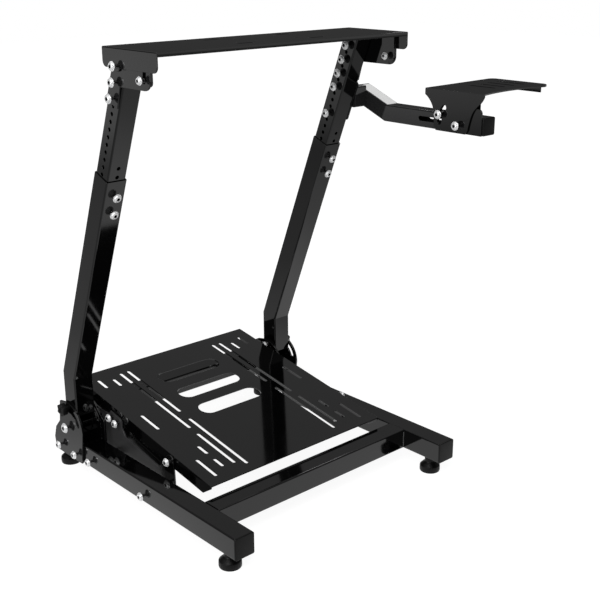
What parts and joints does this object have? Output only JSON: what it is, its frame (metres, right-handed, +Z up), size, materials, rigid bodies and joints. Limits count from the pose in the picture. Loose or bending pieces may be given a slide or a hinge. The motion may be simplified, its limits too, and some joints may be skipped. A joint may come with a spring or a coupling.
{
  "type": "racing wheel stand",
  "caption": "Folding steel stand for a steering wheel and pedals: floor rails on feet, telescopic leaning uprights, tilting wheel plate, slotted pedal plate and side shifter arm.",
  "frame": {"origin": "on the floor, under the middle of the box round the whole stand", "axes": "+X to the driver's right, where the shifter arm is; +Y away from the driver, to the hinge end; +Z up"},
  "size_m": [0.7814, 0.5844, 0.823],
  "materials": {
    "black_powder_coat": "satin black powder coat",
    "zinc_fixings": "bright zinc plate",
    "black_plastic": "moulded matt black"
  },
  "bodies": {
    "base": {"left_rail": "black_powder_coat", "right_rail": "black_powder_coat", "front_crossbar": "black_powder_coat", "rear_crossbar": "black_powder_coat", "left_outer_hinge_plate": "black_powder_coat", "left_inner_hinge_plate": "black_powder_coat", "right_outer_hinge_plate": "black_powder_coat", "right_inner_hinge_plate": "black_powder_coat", "left_pedal_bracket": "black_powder_coat", "right_pedal_bracket": "black_powder_coat", "front_rail_caps": "black_plastic", "rear_rail_caps": "black_plastic", "front_left_foot": "black_plastic", "front_right_foot": "black_plastic", "rear_left_foot": "black_plastic", "rear_right_foot": "black_plastic", "bracket_spacers": "zinc_fixings", "rail_bolts": "zinc_fixings", "hinge_pivots": "zinc_fixings", "hinge_plate_bolts": "zinc_fixings", "pedal_bolts": "zinc_fixings"},
    "uprights": {"left_lower_tube": "black_powder_coat", "right_lower_tube": "black_powder_coat", "hinge_lock_bolts": "zinc_fixings", "hinge_lock_knobs": "black_plastic", "height_bolts": "zinc_fixings"},
    "upper_frame": {"left_upper_tube": "black_powder_coat", "right_upper_tube": "black_powder_coat", "left_tilt_bracket": "black_powder_coat", "right_tilt_bracket": "black_powder_coat", "tilt_pivots": "zinc_fixings", "tilt_bracket_bolts": "zinc_fixings", "shifter_mount_plate": "black_powder_coat", "shifter_stub": "black_powder_coat", "shifter_mount_bolts": "zinc_fixings", "shifter_arm": "black_powder_coat", "shifter_arm_caps": "black_plastic", "shifter_clevis": "black_powder_coat", "shifter_bolts": "zinc_fixings"},
    "wheel_plate": {"wheel_plate": "black_powder_coat", "left_tilt_tab": "black_powder_coat", "right_tilt_tab": "black_powder_coat", "tilt_clamp_bolts": "zinc_fixings"},
    "pedal_plate": {"pedal_plate": "black_powder_coat"},
    "shifter_plate": {"shifter_plate": "black_powder_coat"}
  },
  "joints": [
    {"name": "fold", "type": "hinge", "parent": "base", "child": "uprights", "pos_m": [-0.10405, 0.22309, 0.097], "axis": [1, 0, 0], "range_deg": [0, 50]},
    {"name": "height", "type": "slide", "parent": "uprights", "child": "upper_frame", "axis": [0, -0.3714, 0.9285], "range_m": [-0.04, 0.1]},
    {"name": "wheel_tilt", "type": "hinge", "parent": "upper_frame", "child": "wheel_plate", "pos_m": [-0.10405, -0.02072, 0.7953], "axis": [-1, 0, 0], "range_deg": [0, 18]},
    {"name": "pedal_tilt", "type": "hinge", "parent": "base", "child": "pedal_plate", "pos_m": [-0.10405, -0.02249, 0.09598], "axis": [1, 0, 0], "range_deg": [0, 8]},
    {"name": "shifter_tilt", "type": "hinge", "parent": "upper_frame", "child": "shifter_plate", "pos_m": [0.18965, -0.23535, 0.66497], "axis": [1, 0, 0], "range_deg": [-15, 15]}
  ]
}
